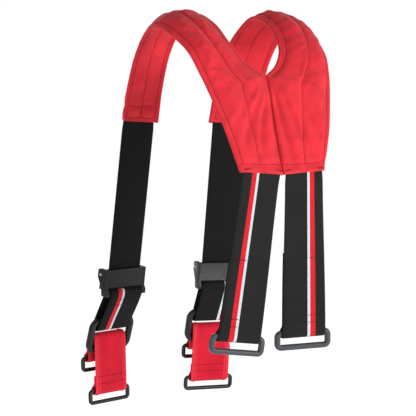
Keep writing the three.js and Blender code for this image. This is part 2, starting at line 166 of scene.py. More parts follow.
def colour_setting(name, value):
    return bpy.props.FloatVectorProperty(
        name=name, description=f"Colour of the {name.lower()}", subtype="COLOR", size=3, min=0, max=1,
        default=value,
    )


class SuspendersColours(bpy.types.PropertyGroup):
    """Base colours of the cloth, webbing and plastic."""

    cloth: colour_setting("Red cloth", (0.50, 0.020, 0.030))
    tab: colour_setting("Red tab", (0.42, 0.007, 0.020))
    thread: colour_setting("Red thread", (0.27, 0.004, 0.012))
    elastic: colour_setting("Black elastic", (0.0085, 0.0085, 0.0082))
    webbing: colour_setting("Black webbing", (0.0036, 0.0036, 0.0036))
    stripe: colour_setting("Red stripe", (0.44, 0.010, 0.016))
    silver: colour_setting("White stripe", (0.40, 0.46, 0.50))
    plastic: colour_setting("Black plastic", (0.0065, 0.0063, 0.0063))
    buckle: colour_setting("Brown-black plastic", (0.013, 0.0115, 0.010))
    grey_plastic: colour_setting("Grey plastic", (0.036, 0.040, 0.044))


# Pad surface


def centripetal_point(points, share):
    """A point at share 0 to 1 along a smooth curve through the points."""
    place = share * (len(points) - 1)
    index = min(int(place), len(points) - 2)
    weight = place - index
    p1, p2 = points[index], points[index + 1]
    p0 = points[index - 1] if index > 0 else 2 * points[0] - points[1]
    p3 = points[index + 2] if index + 2 < len(points) else 2 * points[-1] - points[-2]
    d0, d1, d2 = ((b - a).length ** 0.5 for a, b in ((p0, p1), (p1, p2), (p2, p3)))
    t1 = ((p1 - p0) / d0 - (p2 - p0) / (d0 + d1) + (p2 - p1) / d1) * d1
    t2 = ((p2 - p1) / d1 - (p3 - p1) / (d1 + d2) + (p3 - p2) / d2) * d1
    c2 = 3 * (p2 - p1) - 2 * t1 - t2
    c3 = 2 * (p1 - p2) + t1 + t2
    return p1 + t1 * weight + c2 * weight**2 + c3 * weight**3


NECK_POINTS = [Vector(p) for p in NECK_EDGE]
SEAM_POINTS = [Vector(p) for p in CENTRE_SEAM]
ARM_POINTS = [Vector(p) for p in ARM_EDGE]


def smoothstep(value, low, high):
    t = min(max((value - low) / (high - low), 0.0), 1.0)
    return t * t * (3 - 2 * t)


def edge_surface(along, across):
    if along <= NECK_SHARE:
        inner = centripetal_point(NECK_POINTS, along / NECK_SHARE)
    else:
        inner = centripetal_point(SEAM_POINTS, (along - NECK_SHARE) / (1 - NECK_SHARE))
    return inner.lerp(centripetal_point(ARM_POINTS, along), across)


def pad_room(along, across):
    """Room between the pad's cloths: foam in the middle, a flat pocket at both ends."""
    to_ends = min(smoothstep(along, POCKET_SHARE, 2.5 * POCKET_SHARE),
                  smoothstep(1 - along, POCKET_SHARE, 2.5 * POCKET_SHARE))
    from_middle = abs(2 * across - 1)
    crowned = max((PAD_FILL - CLEARANCE) * (1 - from_middle**3), 0)
    flat = (PAD_POCKET - CLEARANCE) * (1 - from_middle**14)
    return CLEARANCE + flat + (crowned - flat) * to_ends


def pad_point(side, along, across, height):
    step = 0.004
    lengthwise = edge_surface(min(along + step, 1), across) - edge_surface(max(along - step, 0), across)
    crosswise = edge_surface(along, 1) - edge_surface(along, 0)
    normal = lengthwise.cross(crosswise).normalized()
    shoulder = math.sin(math.pi * min(along / NECK_SHARE, 1)) ** 2
    arch = 4 * PAD_ARCH["left" if side < 0 else "right"] * across * (1 - across) * shoulder
    point = edge_surface(along, across) + normal * (height + arch)
    point.x *= side
    return point


# Hanging frames


def turn(degrees, axis):
    return Matrix.Rotation(math.radians(degrees), 4, axis)


def hanger(side, along, lean, splay, yaw):
    """The frame that a strap hangs in: -z down the strap, +y to the front."""
    place = Matrix.Translation(pad_point(side, along, 0.5, STRAP_HEIGHT))
    return place @ turn(splay, "Y") @ turn(lean, "X") @ turn(yaw, "Z")


def arc(cy, cz, radius, start, end, steps=12):
    angles = [start + (end - start) * i / steps for i in range(steps + 1)]
    return [(cy + radius * math.cos(a), cz + radius * math.sin(a)) for a in angles]


def bezier(p0, p1, p2, p3, steps=8):
    points = []
    for i in range(1, steps + 1):
        t = i / steps
        b = ((1 - t) ** 3, 3 * t * (1 - t) ** 2, 3 * t * t * (1 - t), t**3)
        points.append(tuple(sum(w * p[k] for w, p in zip(b, (p0, p1, p2, p3))) for k in (0, 1)))
    return points


def line(start, end, spacing=0.004):
    count = max(int(math.dist(start, end) / spacing), 1)
    return [
        tuple(a + (b - a) * i / count for a, b in zip(start, end)) for i in range(1, count + 1)
    ]


def fold_round(run_y, bar_z, wrap, pinch, stack):
    """Down to a bar, round it and up again to where the strap meets itself."""
    far, near = run_y + 2 * wrap, run_y + stack
    top = bar_z + pinch
    bend = bezier((far, bar_z), (far, bar_z + pinch / 2), (near, top - pinch / 2), (near, top))
    return arc(run_y + wrap, bar_z, wrap, math.pi, 2 * math.pi) + bend


LOWER = math.radians(FRONT["lower_lean"])
RING_WRAP = RING["depth"] / 2 + LOOP_PLAY + HALF
BAR_WRAP = ADJUSTER["thick"] / 2 + CLEARANCE + 0.00005 + HALF
SEWN_BAR_Y = -(2 * HALF + CLEARANCE + BAR_WRAP)
FACE_FOOT = (0.0, -FRONT["drop"] - ADJUSTER["face"])


def below(forward, down):
    """A point of the lower strap's plane, measured from the foot of the adjuster's face."""
    return (
        FACE_FOOT[0] + down * math.sin(LOWER) + forward * math.cos(LOWER),
        FACE_FOOT[1] - down * math.cos(LOWER) + forward * math.sin(LOWER),
    )


RING_AXIS = below(-RING_WRAP, FRONT["lower"])


def front_upper_path():
    return line((0, -STRAP_MOUTH), FACE_FOOT)


def front_lower_path():
    points = [FACE_FOOT] + line(FACE_FOOT, below(0, STRAP_BEND), 0.001)
    points += line(points[-1], below(0, FRONT["lower"] + RING_FOLD))
    fold = below(-RING_WRAP, FRONT["lower"] + RING_FOLD)
    points += arc(*fold, RING_WRAP, LOWER, LOWER - math.pi, 16)
    foot = below(-2 * RING_WRAP, FRONT["lower"] - 0.001)
    points += line(points[-1], foot)
    bar_z = -FRONT["drop"] - ADJUSTER["drop"] + SEWN_BAR_RISE
    sewn_y = SEWN_BAR_Y - BAR_WRAP
    head = below(-2 * RING_WRAP, FRONT["lower"] - 0.012)
    points += bezier(foot, head, (sewn_y, bar_z - SEWN_END - STRAP_BEND), (sewn_y, bar_z - 0.002), 12)
    points += arc(SEWN_BAR_Y, bar_z, BAR_WRAP, math.pi, 0, 12)
    return points + line(points[-1], (SEWN_BAR_Y + BAR_WRAP, bar_z - SEWN_END), 0.002)


def front_hanger(side):
    return hanger(side, 0, FRONT["lean"], -side * FRONT["splay"], -side * FRONT["yaw"])


def ring_frame(side):
    return front_hanger(side) @ Matrix.Translation((0, *RING_AXIS)) @ turn(FRONT["ring_lean"], "X")


def tab_frame(side_name):
    drop = Matrix.Translation((0, 0, RING["bar"] - RING["height"]))
    return ring_frame(SIDES[side_name]) @ drop @ turn(TAB_LEAN[side_name], "X")


TAB_WRAP = FRONT_LOOP["bar"] / 2 + LOOP_PLAY + TAB["thick"] / 2
TAB_LEG = RING["depth"] / 2 + TAB_PLAY + TAB["thick"] / 2


def tab_path():
    stack = TAB["thick"] + CLEARANCE
    short = line((TAB_LEG, TAB["rise"]), (TAB_LEG, -TAB["short"]))
    short += fold_round(TAB_LEG, -TAB["short"], TAB_WRAP, TAB_PINCH, stack)[1:]
    short += line(short[-1], (TAB_LEG + stack, TAB["short_tail"]))
    top = arc(0, TAB["rise"], TAB_LEG, 0, math.pi, 16)
    long = line(top[-1], (-TAB_LEG, -TAB["long"]))
    long += fold_round(-TAB_LEG, -TAB["long"], TAB_WRAP, TAB_PINCH, stack)[1:]
    long += line(long[-1], (stack - TAB_LEG, TAB["long_tail"]))
    return short[::-1] + top + long


def back_wrap():
    return BACK_LOOP["bar"] / 2 + LOOP_PLAY + HALF


def back_bar_z():
    return back_wrap() + HALF - BACK["length"]


def back_turn(side_name, z):
    _, at_hem, at_loop = BACK_HANG[side_name]
    share = smoothstep(-z, 0, BACK["length"])
    return turn(at_hem + (at_loop - at_hem) * share, "Z")


def back_path():
    stack = WEB_THICKNESS + CLEARANCE
    down = line((0, -STRAP_MOUTH), (0, back_bar_z()))
    fold = fold_round(0, back_bar_z(), back_wrap(), STRAP_PINCH, stack)
    return down + fold[1:] + line(fold[-1], (stack, BACK["tail"] - BACK["length"]))


# Mesh tools


def link_mesh(name, vertices, faces, materials):
    mesh = bpy.data.meshes.new(name)
    mesh.from_pydata([tuple(v) for v in vertices], [], faces)
    piece = bpy.data.objects.new(name, mesh)
    bpy.context.scene.collection.objects.link(piece)
    for material in materials:
        mesh.materials.append(material)
    outward(mesh)
    return piece


def outward(mesh):
    solid = bmesh.new()
    solid.from_mesh(mesh)
    bmesh.ops.recalc_face_normals(solid, faces=solid.faces)
    solid.to_mesh(mesh)
    solid.free()


def select_only(piece):
    bpy.ops.object.select_all(action="DESELECT")
    piece.select_set(True)
    bpy.context.view_layer.objects.active = piece


def smooth(piece, degrees=40):
    select_only(piece)
    bpy.ops.object.shade_smooth_by_angle(angle=math.radians(degrees))


def apply_modifier(piece, kind, **values):
    select_only(piece)
    modifier = piece.modifiers.new(kind.lower(), kind)
    for name, value in values.items():
        setattr(modifier, name, value)
    bpy.ops.object.modifier_apply(modifier=modifier.name)


def place(piece, matrix):
    piece.data.transform(matrix)
    piece.data.update()


def join(pieces):
    select_only(pieces[0])
    for piece in pieces[1:]:
        piece.select_set(True)
    bpy.ops.object.join()
    return pieces[0]


def stations_of(path, matrix, side_turn=None):
    """Points, across directions and face normals of a strap drawn in the (y, z) plane."""
    stations = []
    for i, (y, z) in enumerate(path):
        before, after = path[max(i - 1, 0)], path[min(i + 1, len(path) - 1)]
        tangent = Vector((0, after[0] - before[0], after[1] - before[1])).normalized()
        across = Vector((1, 0, 0))
        normal = tangent.cross(across)
        local = matrix @ side_turn(z) if side_turn else matrix
        stations.append((local @ Vector((0, y, z)), local.to_3x3() @ across, local.to_3x3() @ normal))
    return stations


def sewn_start(side, along):
    """The stretch of a strap that lies between the pad's cloths."""
    stations = []
    for depth in (SEWN_DEPTH, SEWN_DEPTH / 2, 0):
        share = abs(along - depth)
        ends = [pad_point(side, share, across, 0) for across in ((1, 0) if side < 0 else (0, 1))]
        across = (ends[1] - ends[0]).normalized()
        point = pad_point(side, share, 0.5, STRAP_HEIGHT)
        stations.append([point, across, None])
    for i, station in enumerate(stations):
        before, after = stations[max(i - 1, 0)][0], stations[min(i + 1, 2)][0]
        station[2] = (after - before).normalized().cross(station[1]).normalized()
    return [tuple(station) for station in stations]


HALF_SHARES = (0.0, 0.012, 0.05, 0.12, 0.2, 0.28, 0.36, 0.44)
EDGE_SHARES = HALF_SHARES + (0.5,) + tuple(round(1 - share, 3) for share in reversed(HALF_SHARES))
THIN_EDGE = 0.001
EDGE_THINNESS = 0.62
HEM_WIDTH = 0.0075


def strap(name, stations, side, width, thickness, materials, hem=0.0):
    """A strip with thinned edges. Its UV map holds metres from the outer edge and metres along.

    The face whose normal the stations give has its first coordinate between 0 and 1, the other
    face one more. hem thickens a band along both edges.
    """
    ring, vertices, lengths = [], [], [0.0]
    for first, second in zip(stations, stations[1:]):
        lengths.append(lengths[-1] + (second[0] - first[0]).length)
    for face in (1, -1):
        shares = EDGE_SHARES if face > 0 else EDGE_SHARES[::-1]
        for share in shares:
            from_edge = min(share, 1 - share) * width
            if from_edge < 1e-6 and face < 0:
                continue
            thin = 0.0 if from_edge < 1e-6 else (EDGE_THINNESS if from_edge < THIN_EDGE else 1.0)
            thick = thin + (hem if THIN_EDGE < from_edge < HEM_WIDTH else 0.0)
            ring.append((share, face * thick))
    for point, across, normal in stations:
        for share, height in ring:
            offset = normal * (height * thickness / 2)
            vertices.append(point + across * ((share - 0.5) * width) + offset)
    count, last = len(ring), len(stations) - 1
    faces = [
        (i * count + k, i * count + (k + 1) % count, (i + 1) * count + (k + 1) % count, (i + 1) * count + k)
        for i in range(last)
        for k in range(count)
    ]
    faces += [tuple(range(count))[::-1], tuple(last * count + k for k in range(count))]
    piece = link_mesh(name, vertices, faces, materials)
    layer = piece.data.uv_layers.new(name="strap")
    half_ring = len(EDGE_SHARES) - 1
    for polygon in piece.data.polygons:
        ks = [v % count for v in polygon.vertices]
        back = all(k >= half_ring or k == 0 for k in ks) and any(k > half_ring for k in ks)
        for loop, v in zip(polygon.loop_indices, polygon.vertices):
            share = ring[v % count][0]
            outer = share if side < 0 else 1 - share
            layer.data[loop].uv = (outer * width + (1.0 if back else 0.0), lengths[v // count])
    smooth(piece, 50)
    return piece


def thread(name, runs, material, length, gap, radius=0.00042, sink=0.00012):
    """Stitches along runs of (point, normal), each one a small spindle lying in the cloth."""
    vertices, faces = [], []
    for run in runs:
        travelled, start = 0.0, 0.0
        for (a, na), (b, nb) in zip(run, run[1:]):
            span = (b - a).length
            while span > 0 and start + length <= travelled + span:
                if start >= travelled - length:
                    t = (start + length / 2 - travelled) / span
                    centre, normal = a.lerp(b, t), na.lerp(nb, t).normalized()
                    ahead = (b - a).normalized()
                    aside = normal.cross(ahead).normalized()
                    centre = centre + normal * (radius - sink)
                    base = len(vertices)
                    vertices += [centre - ahead * length / 2 - normal * radius,
                                 centre + ahead * length / 2 - normal * radius]
                    for end in (-0.28, 0.28):
                        for angle in range(5):
                            spin = 2 * math.pi * angle / 5
                            out = aside * math.cos(spin) + normal * math.sin(spin)
                            vertices.append(centre + ahead * end * length + out * radius)
                    for k in range(5):
                        n = (k + 1) % 5
                        faces += [
                            (base, base + 2 + n, base + 2 + k),
                            (base + 2 + k, base + 2 + n, base + 7 + n, base + 7 + k),
                            (base + 1, base + 7 + k, base + 7 + n),
                        ]
                start += length + gap
            travelled += span
    piece = link_mesh(name, vertices, faces, [material])
    smooth(piece, 80)
    return piece


def strap_run(stations, share, width, thickness, face, first=0, last=None):
    """The line of a seam along a strap, at a share of its width."""
    return [
        (p + across * ((share - 0.5) * width) + normal * (face * thickness / 2), normal * face)
        for p, across, normal in stations[first:last]
    ]


def cross_run(station, width, thickness, face, margin=0.003):
    """The line of a seam across a strap."""
    point, across, normal = station
    shares = [margin / width + (1 - 2 * margin / width) * i / 12 for i in range(13)]
    lift = normal * (face * thickness / 2)
    return [(point + across * ((share - 0.5) * width) + lift, normal * face) for share in shares]


# Materials


WAVE_PITCH = 0.314  # a wave texture's own pitch at scale 1
WARP_PITCH = 0.0011
RAGGED_EDGE = 0.00012


def add_node(tree, kind, inputs=None, **settings):
    """A shader node with its settings; each input is given a value or the socket that feeds it."""
    made = tree.nodes.new(kind)
    for name, value in settings.items():
        setattr(made, name, value)
    for name, value in (inputs or {}).items():
        if isinstance(value, bpy.types.NodeSocket):
            tree.links.new(value, made.inputs[name])
        else:
            made.inputs[name].default_value = value
    return made


def node_group(name, inputs, outputs):
    group = bpy.data.node_groups.new(name, "ShaderNodeTree")
    for label, kind, value in inputs:
        socket = group.interface.new_socket(name=label, in_out="INPUT", socket_type=kind)
        if value is not None:
            socket.default_value = value
    for label in outputs:
        group.interface.new_socket(name=label, in_out="OUTPUT", socket_type="NodeSocketFloat")
    return group, group.nodes.new("NodeGroupInput"), group.nodes.new("NodeGroupOutput")


def math_node(tree, operation, *values):
    return add_node(tree, "ShaderNodeMath", dict(enumerate(values)), operation=operation).outputs[0]


def mix_colour(tree, factor, first, second):
    inputs = {0: factor, 6: first, 7: second}
    return add_node(tree, "ShaderNodeMix", inputs, data_type="RGBA").outputs[2]


def noise_node(tree, vector, scale, detail):
    inputs = {"Vector": vector, "Scale": scale, "Detail": detail}
    return add_node(tree, "ShaderNodeTexNoise", inputs).outputs["Fac"]


def range_node(tree, value, **limits):
    inputs = {name.replace("_", " ").title(): limit for name, limit in limits.items()}
    return add_node(tree, "ShaderNodeMapRange", {"Value": value, **inputs}).outputs["Result"]


def weave_group():
    """Crossed threads with a diagonal twill and a soft fuzz."""
    group, start, end = node_group(
        "cloth_weave",
        [("Vector", "NodeSocketVector", None), ("Pitch", "NodeSocketFloat", 1.0)],
        ["Height", "Tone"],
    )
    vector = start.outputs["Vector"]
    scale = math_node(group, "DIVIDE", WAVE_PITCH, start.outputs["Pitch"])
    wave = {"Vector": vector, "Scale": scale, "Distortion": 1.2, "Detail Scale": 1.6}
    waves = [
        add_node(group, "ShaderNodeTexWave", wave, bands_direction=direction).outputs["Fac"]
        for direction in ("X", "Y", "DIAGONAL")
    ]
    crossed = math_node(group, "MULTIPLY", waves[0], waves[1])
    height = math_node(group, "MULTIPLY_ADD", waves[2], 0.6, crossed)
    tone = math_node(group, "MULTIPLY_ADD", height, 0.12, noise_node(group, vector, 38, 5))
    group.links.new(height, end.inputs["Height"])
    group.links.new(tone, end.inputs["Tone"])
    return group


def grain_group():
    """Fine moulded grain with scuffs, and a mask of painted highlight on sharp convex edges."""
    group, start, end = node_group(
        "moulded_grain", [("Vector", "NodeSocketVector", None)], ["Height", "Scuff", "Edge"]
    )
    fine = noise_node(group, start.outputs["Vector"], 1500, 3)
    broad = noise_node(group, start.outputs["Vector"], 160, 6)
    pointed = add_node(group, "ShaderNodeNewGeometry").outputs["Pointiness"]
    # Painted highlight: sharp convex edges, found by pointiness, are marked for lightening.
    painted_edge_highlight = range_node(group, pointed, from_min=0.52, from_max=0.62)
    group.links.new(fine, end.inputs["Height"])
    group.links.new(broad, end.inputs["Scuff"])
    group.links.new(math_node(group, "MULTIPLY", painted_edge_highlight, broad), end.inputs["Edge"])
    return group


def surface(name, roughness, specular=0.4, sheen=0.0, sheen_roughness=0.4):
    material = bpy.data.materials.new(name)
    material.use_nodes = True
    tree = material.node_tree
    shader = next(node for node in tree.nodes if node.type == "BSDF_PRINCIPLED")
    shader.inputs["Roughness"].default_value = roughness
    shader.inputs["Specular IOR Level"].default_value = specular
    shader.inputs["Sheen Weight"].default_value = sheen
    shader.inputs["Sheen Roughness"].default_value = sheen_roughness
    return material, tree, shader


def bump(tree, shader, height, distance, strength):
    inputs = {"Height": height, "Distance": distance, "Strength": strength}
    tree.links.new(add_node(tree, "ShaderNodeBump", inputs).outputs["Normal"], shader.inputs["Normal"])


def scaled(colour, factor):
    return (*(min(c * factor, 1.0) for c in colour), 1.0)


def varied(tree, tone, colour, low, high):
    return mix_colour(tree, tone, scaled(colour, low), scaled(colour, high))


def group_node(tree, name, **values):
    coordinates = add_node(tree, "ShaderNodeTexCoord").outputs["Object"]
    made = add_node(tree, "ShaderNodeGroup", node_tree=bpy.data.node_groups[name])
    tree.links.new(coordinates, made.inputs["Vector"])
    for label, value in values.items():
        made.inputs[label].default_value = value
    return made.outputs


def strap_map(tree):
    """The strap's own map: metres across from the outer edge, and metres along."""
    uv = add_node(tree, "ShaderNodeUVMap", uv_map="strap").outputs["UV"]
    split = add_node(tree, "ShaderNodeSeparateXYZ", {"Vector": uv}).outputs
    return uv, split["X"], split["Y"]


def cloth_material(name, colour, pitch, sheen):
    _, tree, shader = surface(name, 0.85, 0.12, sheen, 0.4)
    weave = group_node(tree, "cloth_weave", Pitch=pitch)
    tone = range_node(tree, weave["Tone"], from_min=0.35, from_max=0.8)
    tree.links.new(varied(tree, tone, colour, 0.84, 1.16), shader.inputs["Base Color"])
    bump(tree, shader, weave["Height"], 0.00012, 0.6)
    return tree, shader


def band(tree, value, low, high):
    above = math_node(tree, "GREATER_THAN", value, low)
    return math_node(tree, "MULTIPLY", above, math_node(tree, "LESS_THAN", value, high))


def sine(tree, value, pitch):
    return math_node(tree, "SINE", math_node(tree, "MULTIPLY", value, 2 * math.pi / pitch))


def webbing_material(name, colour, rib, ribs_deep, sizes, colours):
    """Woven strap with a red and a white stripe along its outer face."""
    _, tree, shader = surface(name, 0.8, 0.1, 0.02, 0.5)
    uv, across, along = strap_map(tree)
    ribs = sine(tree, along, rib)
    warp = math_node(tree, "MULTIPLY", sine(tree, across, WARP_PITCH), 0.5)
    height = math_node(tree, "MULTIPLY_ADD", ribs, ribs_deep, warp)
    wear_and_edge_highlight = math_node(tree, "MULTIPLY", noise_node(tree, uv, 30, 4), 0.5)
    tone = math_node(tree, "MULTIPLY_ADD", noise_node(tree, uv, 900, 4), 0.7, wear_and_edge_highlight)
    base = varied(tree, tone, colour, 0.55, 1.5)
    start = sizes.stripe_place
    middle = start + sizes.red_stripe
    end = middle + sizes.white_stripe
    ragged = math_node(tree, "MULTIPLY_ADD", ribs, RAGGED_EDGE, across)
    red = varied(tree, tone, colours.stripe, 0.8, 1.15)
    base = mix_colour(tree, band(tree, ragged, start, middle), base, red)
    white = varied(tree, tone, colours.silver, 0.8, 1.15)
    base = mix_colour(tree, band(tree, ragged, middle, end), base, white)
    tree.links.new(base, shader.inputs["Base Color"])
    bump(tree, shader, height, 0.00018, 0.55)


def tab_material(name, colour, width):
    """Folded red cloth, with a painted highlight on its raised turned edges."""
    tree, shader = cloth_material(name, colour, 0.0009, 0.06)
    base = shader.inputs["Base Color"].links[0].from_socket
    across = math_node(tree, "FRACT", strap_map(tree)[1])
    nearest = math_node(tree, "MINIMUM", across, math_node(tree, "SUBTRACT", width, across))
    # Painted highlight: a band about 7 mm wide along both raised edges is lightened.
    turned = range_node(tree, nearest, from_min=0.0078, from_max=0.0066)
    hem_highlight_colour = tuple(min(c * 1.25 + 0.012, 1) for c in colour)
    tree.links.new(mix_colour(tree, turned, base, (*hem_highlight_colour, 1.0)), shader.inputs["Base Color"])


def plastic_material(name, colour, roughness):
    _, tree, shader = surface(name, roughness, 0.22, 0.0, 0.5)
    grain = group_node(tree, "moulded_grain")
    base = varied(tree, grain["Scuff"], colour, 0.8, 1.25)
    # Painted highlight: sharp convex edges are lightened to 3.2 times the base colour, patchy by the
    # scuffs.
    wear_and_edge_highlight = mix_colour(tree, grain["Edge"], base, scaled(colour, 3.2))
    tree.links.new(wear_and_edge_highlight, shader.inputs["Base Color"])
    rough = range_node(tree, grain["Scuff"], to_min=roughness - 0.1, to_max=roughness + 0.12)
    tree.links.new(rough, shader.inputs["Roughness"])
    bump(tree, shader, grain["Height"], 0.00005, 0.5)


class SUSPENDERS_OT_finishes(bpy.types.Operator):
    """Make the cloth, webbing, thread and plastic finishes"""

    bl_idname = "suspenders.finishes"
    bl_label = "Finishes"

    def execute(self, context):
        sizes, colours = context.scene.suspenders_sizes, context.scene.suspenders_colours
        weave_group()
        grain_group()
        cloth_material("pad_cloth", colours.cloth, 0.0011, 0.1)
        cloth_material("red_thread", colours.thread, 0.0005, 0.1)
        cloth_material("black_thread", (0.012, 0.012, 0.012), 0.0005, 0.1)
        tab_material("tab_cloth", colours.tab, sizes.webbing_width)
        webbing_material("elastic_webbing", colours.elastic, 0.0016, 1.0, sizes, colours)
        webbing_material("smooth_webbing", colours.webbing, 0.0013, 0.45, sizes, colours)
        plastic_material("black_plastic", colours.plastic, 0.42)
        plastic_material("buckle_plastic", colours.buckle, 0.36)
        plastic_material("grey_plastic", colours.grey_plastic, 0.4)
        steel = surface("pin_steel", 0.32)[2]
        steel.inputs["Metallic"].default_value = 1.0
        steel.inputs["Base Color"].default_value = (0.45, 0.46, 0.47, 1.0)
        return {"FINISHED"}


# Pads

PAD_SHARES = (0, 0.0015, 0.004, 0.0075, 0.012, 0.018, 0.025, 0.032, 0.039, 0.045, 0.052) + tuple(
    0.06 + 0.93 * i / 105 for i in range(106)
) + (0.9945, 0.998, 1)
PAD_ROWS = len(PAD_SHARES) - 1
EDGE_COLUMNS = 3
PANEL_COLUMNS = 13
SEAM_COLUMNS = (EDGE_COLUMNS, EDGE_COLUMNS + PANEL_COLUMNS, EDGE_COLUMNS + 2 * PANEL_COLUMNS)
LAST_COLUMN = 2 * (EDGE_COLUMNS + PANEL_COLUMNS)
FRONT_SEAM_ROWS = (4, 9)
HEM_SEAM_ROW = PAD_ROWS - 4
SEAM_ROWS = (*FRONT_SEAM_ROWS, HEM_SEAM_ROW)
CORNER = 0.007
PAD_LENGTH = 0.38
LINING_PINCH = 0.0007
LINING_SHARE = 0.8
MOST_INWARD = 0.0002
MOST_SWELL = 0.005
PAD_PRESSURE = 4.0
PAD_CLOTH = {
    "quality": 6,
    "mass": 0.25,
    "tension_stiffness": 12,
    "compression_stiffness": 12,
    "bending_stiffness": 0.35,
    "shrink_min": -0.035,
    "use_pressure": True,
}
# along, across, height
PAD_BARTACKS = ((0.993, 0.1, 0.005), (0.993, 0.85, 0.005), (0.03, 0.5, 0.005), (0.03, 0.5, -0.003))
MEETING = 0.05
PANEL_WIDTH = 0.06
FULL_FROM_EDGE = 0.16
ROW_SEAM_WIDTH = 0.0045
MOST_PINCHED = 0.55
FIRST_STITCH = 0.012
LAST_STITCH = 0.98


def pad_across(column, width, edge_seam):
    edge = edge_seam / width
    if column <= EDGE_COLUMNS:
        return edge * column / EDGE_COLUMNS
    if column >= LAST_COLUMN - EDGE_COLUMNS:
        return 1 - edge * (LAST_COLUMN - column) / EDGE_COLUMNS
    return edge + (1 - 2 * edge) * (column - EDGE_COLUMNS) / (2 * PANEL_COLUMNS)


BACK_FOLD = 0.0023
SLANT_FOLD = 0.0005
RIPPLE = 0.0004


def pad_folds(point, along, across, side):
    """Soft folds: down from the neck on the back, slanting on the shoulder and the front."""
    apex = Vector((0, *NECK_EDGE[-1][1:]))
    angle = math.atan2(point.x - apex.x, -(point.z - apex.z) + 0.012)
    away = (point - apex).length
    back = (1 - smoothstep(abs(angle), 0.6, 0.95)) * smoothstep(along, 0.70, 0.82)
    back *= smoothstep(away, 0.008, 0.04) * (1 - 0.75 * smoothstep(away, 0.07, 0.115))
    wave = math.sin(angle * 25 + 1.3 * noise.noise(point * 16) + side)
    radial = wave - 0.4 * wave * wave
    slant = math.sin(2 * math.pi * (along * 24 + across * 2.2) + 5 * noise.noise(point * 28))
    front = 1 - smoothstep(along, 0.52, 0.72)
    ripple = noise.noise(point * 75) + 0.5 * noise.noise(point * 160)
    return BACK_FOLD * radial * back + SLANT_FOLD * slant * front + RIPPLE * ripple


def pad_across_at(along, column, edge_seam):
    """The share of the width where a column lies, with the front end's corners rounded."""
    width = (edge_surface(along, 1) - edge_surface(along, 0)).length
    across = pad_across(column, width, edge_seam)
    from_end = min(along * PAD_LENGTH, CORNER)
    inset = CORNER - math.sqrt(CORNER**2 - (CORNER - from_end) ** 2)
    return 0.5 + (across - 0.5) * (1 - 2 * inset / width)


def pad_height(along, across):
    """The upper cloth's height. The two pads meet at full thickness along the centre seam."""
    meeting = smoothstep(along, NECK_SHARE, NECK_SHARE + MEETING)
    full = max(across, FULL_FROM_EDGE)
    return PAD_LINING_TOP + PAD_SHELL + pad_room(along, across + (full - across) * meeting)


def pad_pull(row, column):
    """How strongly the nearest seam pulls a point in, from 0 to 1."""
    along = PAD_SHARES[row]
    from_seams = [abs(column - seam) for seam in SEAM_COLUMNS]
    if along > NECK_SHARE:
        from_seams[0] = 1.1 * column
    from_row = min(abs(along - PAD_SHARES[seam]) for seam in SEAM_ROWS) * PAD_LENGTH / ROW_SEAM_WIDTH
    return max(1 - min(from_seams) / 2, 1 - from_row, 0)


def pad_mesh(side_name, sizes, material):
    """A closed pad in two cloths, its seams already pulled in."""
    side = SIDES[side_name]
    vertices, pinned = [], []
    for layer in (1, -1):
        for i, along in enumerate(PAD_SHARES):
            for column in range(LAST_COLUMN + 1):
                across = pad_across_at(along, column, sizes.edge_seam)
                room = pad_height(along, across)
                pull = pad_pull(i, column)
                height = PAD_FOOT + LINING_PINCH * pull
                if layer > 0:
                    height = room - min(sizes.seam_pinch, MOST_PINCHED * (room - PAD_FOOT)) * pull
                vertices.append(pad_point(side, along, across, height))
                rim = column in (0, LAST_COLUMN) or i in (0, PAD_ROWS)
                if rim or column in SEAM_COLUMNS or i in SEAM_ROWS:
                    pinned.append(len(vertices) - 1)
    wide, layer_size = LAST_COLUMN + 1, (LAST_COLUMN + 1) * (PAD_ROWS + 1)
    faces = []
    for i in range(PAD_ROWS):
        for k in range(LAST_COLUMN):
            quad = (i * wide + k, i * wide + k + 1, (i + 1) * wide + k + 1, (i + 1) * wide + k)
            faces.append(quad)
            faces.append(tuple(layer_size + v for v in reversed(quad)))
    rim = [k for k in range(wide)] + [i * wide + LAST_COLUMN for i in range(1, PAD_ROWS + 1)]
    rim += [PAD_ROWS * wide + k for k in range(LAST_COLUMN - 1, -1, -1)]
    rim += [i * wide for i in range(PAD_ROWS - 1, 0, -1)]
    for a, b in zip(rim, rim[1:] + rim[:1]):
        faces.append((a, layer_size + a, layer_size + b, b))
    piece = link_mesh(f"{side_name}_pad", vertices, faces, [material])
    pins = piece.vertex_groups.new(name="seams")
    pins.add(pinned, 1.0, "REPLACE")
    return piece


def swell(piece, pressure, most):
    """Inflates the pad between its seams as cloth, then keeps every point within a limit."""
    start = [vertex.co.copy() for vertex in piece.data.vertices]
    normals = [vertex.normal.copy() for vertex in piece.data.vertices]
    select_only(piece)
    bpy.ops.object.modifier_add(type="CLOTH")
    cloth = piece.modifiers[-1]
    settings = cloth.settings
    for name, value in PAD_CLOTH.items():
        setattr(settings, name, value)
    settings.uniform_pressure_force = pressure
    settings.vertex_group_mass = "seams"
    settings.effector_weights.gravity = 0
    cloth.collision_settings.use_collision = False
    cloth.point_cache.frame_start, cloth.point_cache.frame_end = 1, 20
    scene = bpy.context.scene
    for number in range(1, 21):
        scene.frame_set(number)
    bpy.ops.object.modifier_apply(modifier=cloth.name)
    scene.frame_set(1)
    for vertex, before, normal in zip(piece.data.vertices, start, normals):
        move = vertex.co - before
        inward = min(move.dot(normal) + MOST_INWARD, 0)
        move -= normal * inward
        if move.length > most:
            move *= most / move.length
        vertex.co = before + move


